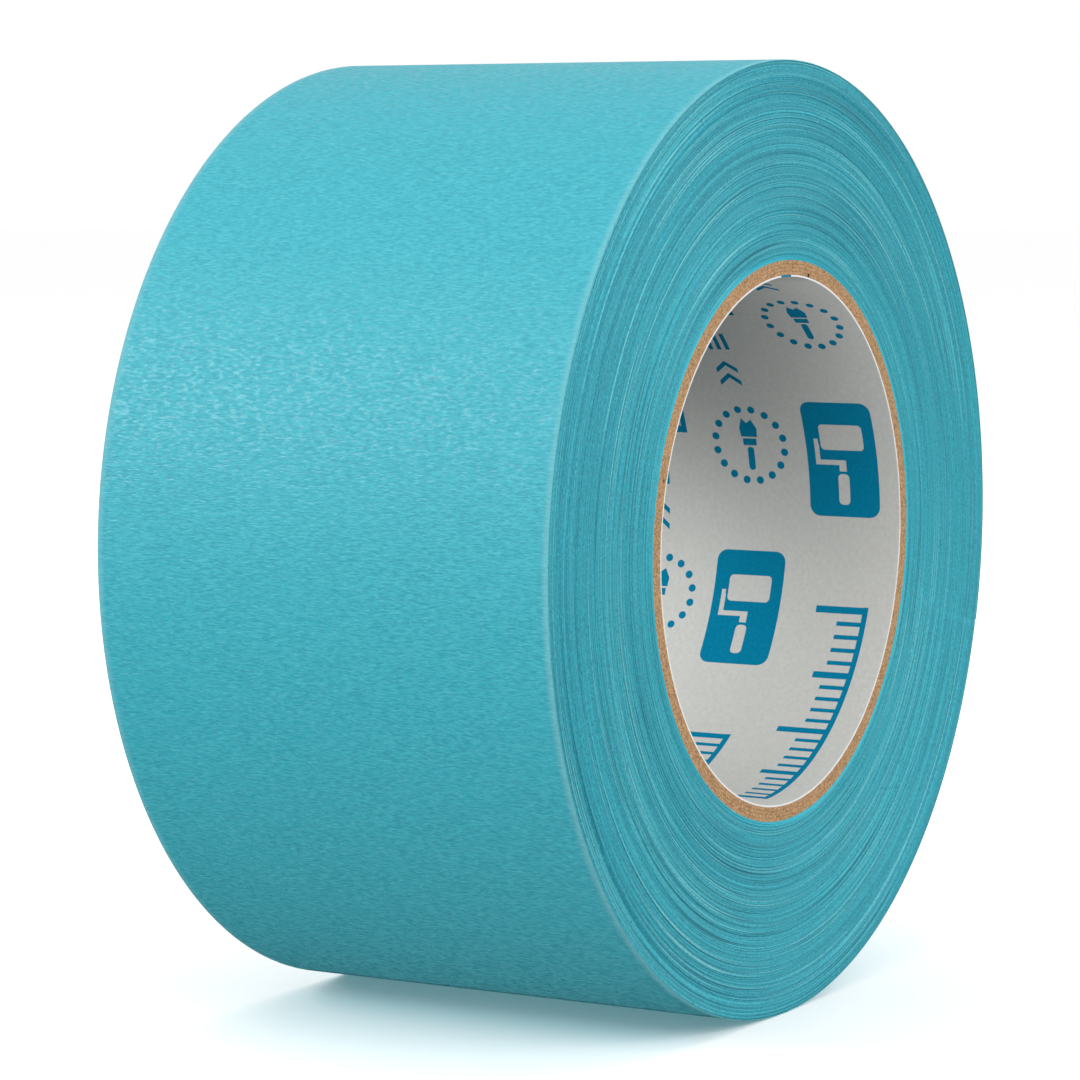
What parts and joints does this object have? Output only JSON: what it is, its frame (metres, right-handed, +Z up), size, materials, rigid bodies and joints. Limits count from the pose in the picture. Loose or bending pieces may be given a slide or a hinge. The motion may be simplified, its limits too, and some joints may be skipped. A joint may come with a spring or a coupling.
{
  "type": "masking tape roll",
  "caption": "Roll of wide crepe-paper masking tape, wound on a spiral-wound paperboard core with a printed white liner; its free end peels up from the outer turn.",
  "frame": {"origin": "middle of the core's bore, halfway across the roll's width", "axes": "+Y along the bore, +Z up with the roll standing on its rim, +X towards the side where the free end lies"},
  "size_m": [0.1381, 0.072, 0.138],
  "materials": {
    "tape": "matt saturated crepe paper, dyed turquoise",
    "adhesive": "tacky adhesive on the tape's inner face, satin",
    "liner": "smooth white printed paper",
    "ink": "matt teal printing ink",
    "kraft": "matt unbleached kraft paperboard"
  },
  "bodies": {
    "roll": {"core_liner": "liner", "core_ply_1": "kraft", "core_ply_2": "kraft", "core_ply_3": "kraft", "core_ply_4": "kraft", "tape_first_turn": "tape", "tape_windings": "tape", "tape_outer_turn": "tape"},
    "end_1": {"tape_end_panel_1": "tape"},
    "end_2": {"tape_end_panel_2": "tape"},
    "end_3": {"tape_end_panel_3": "tape"},
    "end_4": {"tape_end_panel_4": "tape"}
  },
  "joints": [
    {"name": "end_lift", "type": "hinge", "parent": "roll", "child": "end_1", "pos_m": [0.05681, 0, 0.03937], "axis": [0, -1, 0], "range_deg": [0, 70]},
    {"name": "end_curl_1", "type": "hinge", "parent": "end_1", "child": "end_2", "pos_m": [0.06396, 0, 0.02622], "axis": [0, -1, 0], "range_deg": [0, 35]},
    {"name": "end_curl_2", "type": "hinge", "parent": "end_2", "child": "end_3", "pos_m": [0.06812, 0, 0.01184], "axis": [0, -1, 0], "range_deg": [0, 35]},
    {"name": "end_curl_3", "type": "hinge", "parent": "end_3", "child": "end_4", "pos_m": [0.06908, 0, -0.0031], "axis": [0, -1, 0], "range_deg": [0, 35]}
  ],
  "couplings": [
    {"joint": "end_curl_1", "follows": "end_lift", "ratio": 0.5},
    {"joint": "end_curl_2", "follows": "end_lift", "ratio": 0.5},
    {"joint": "end_curl_3", "follows": "end_lift", "ratio": 0.5}
  ]
}
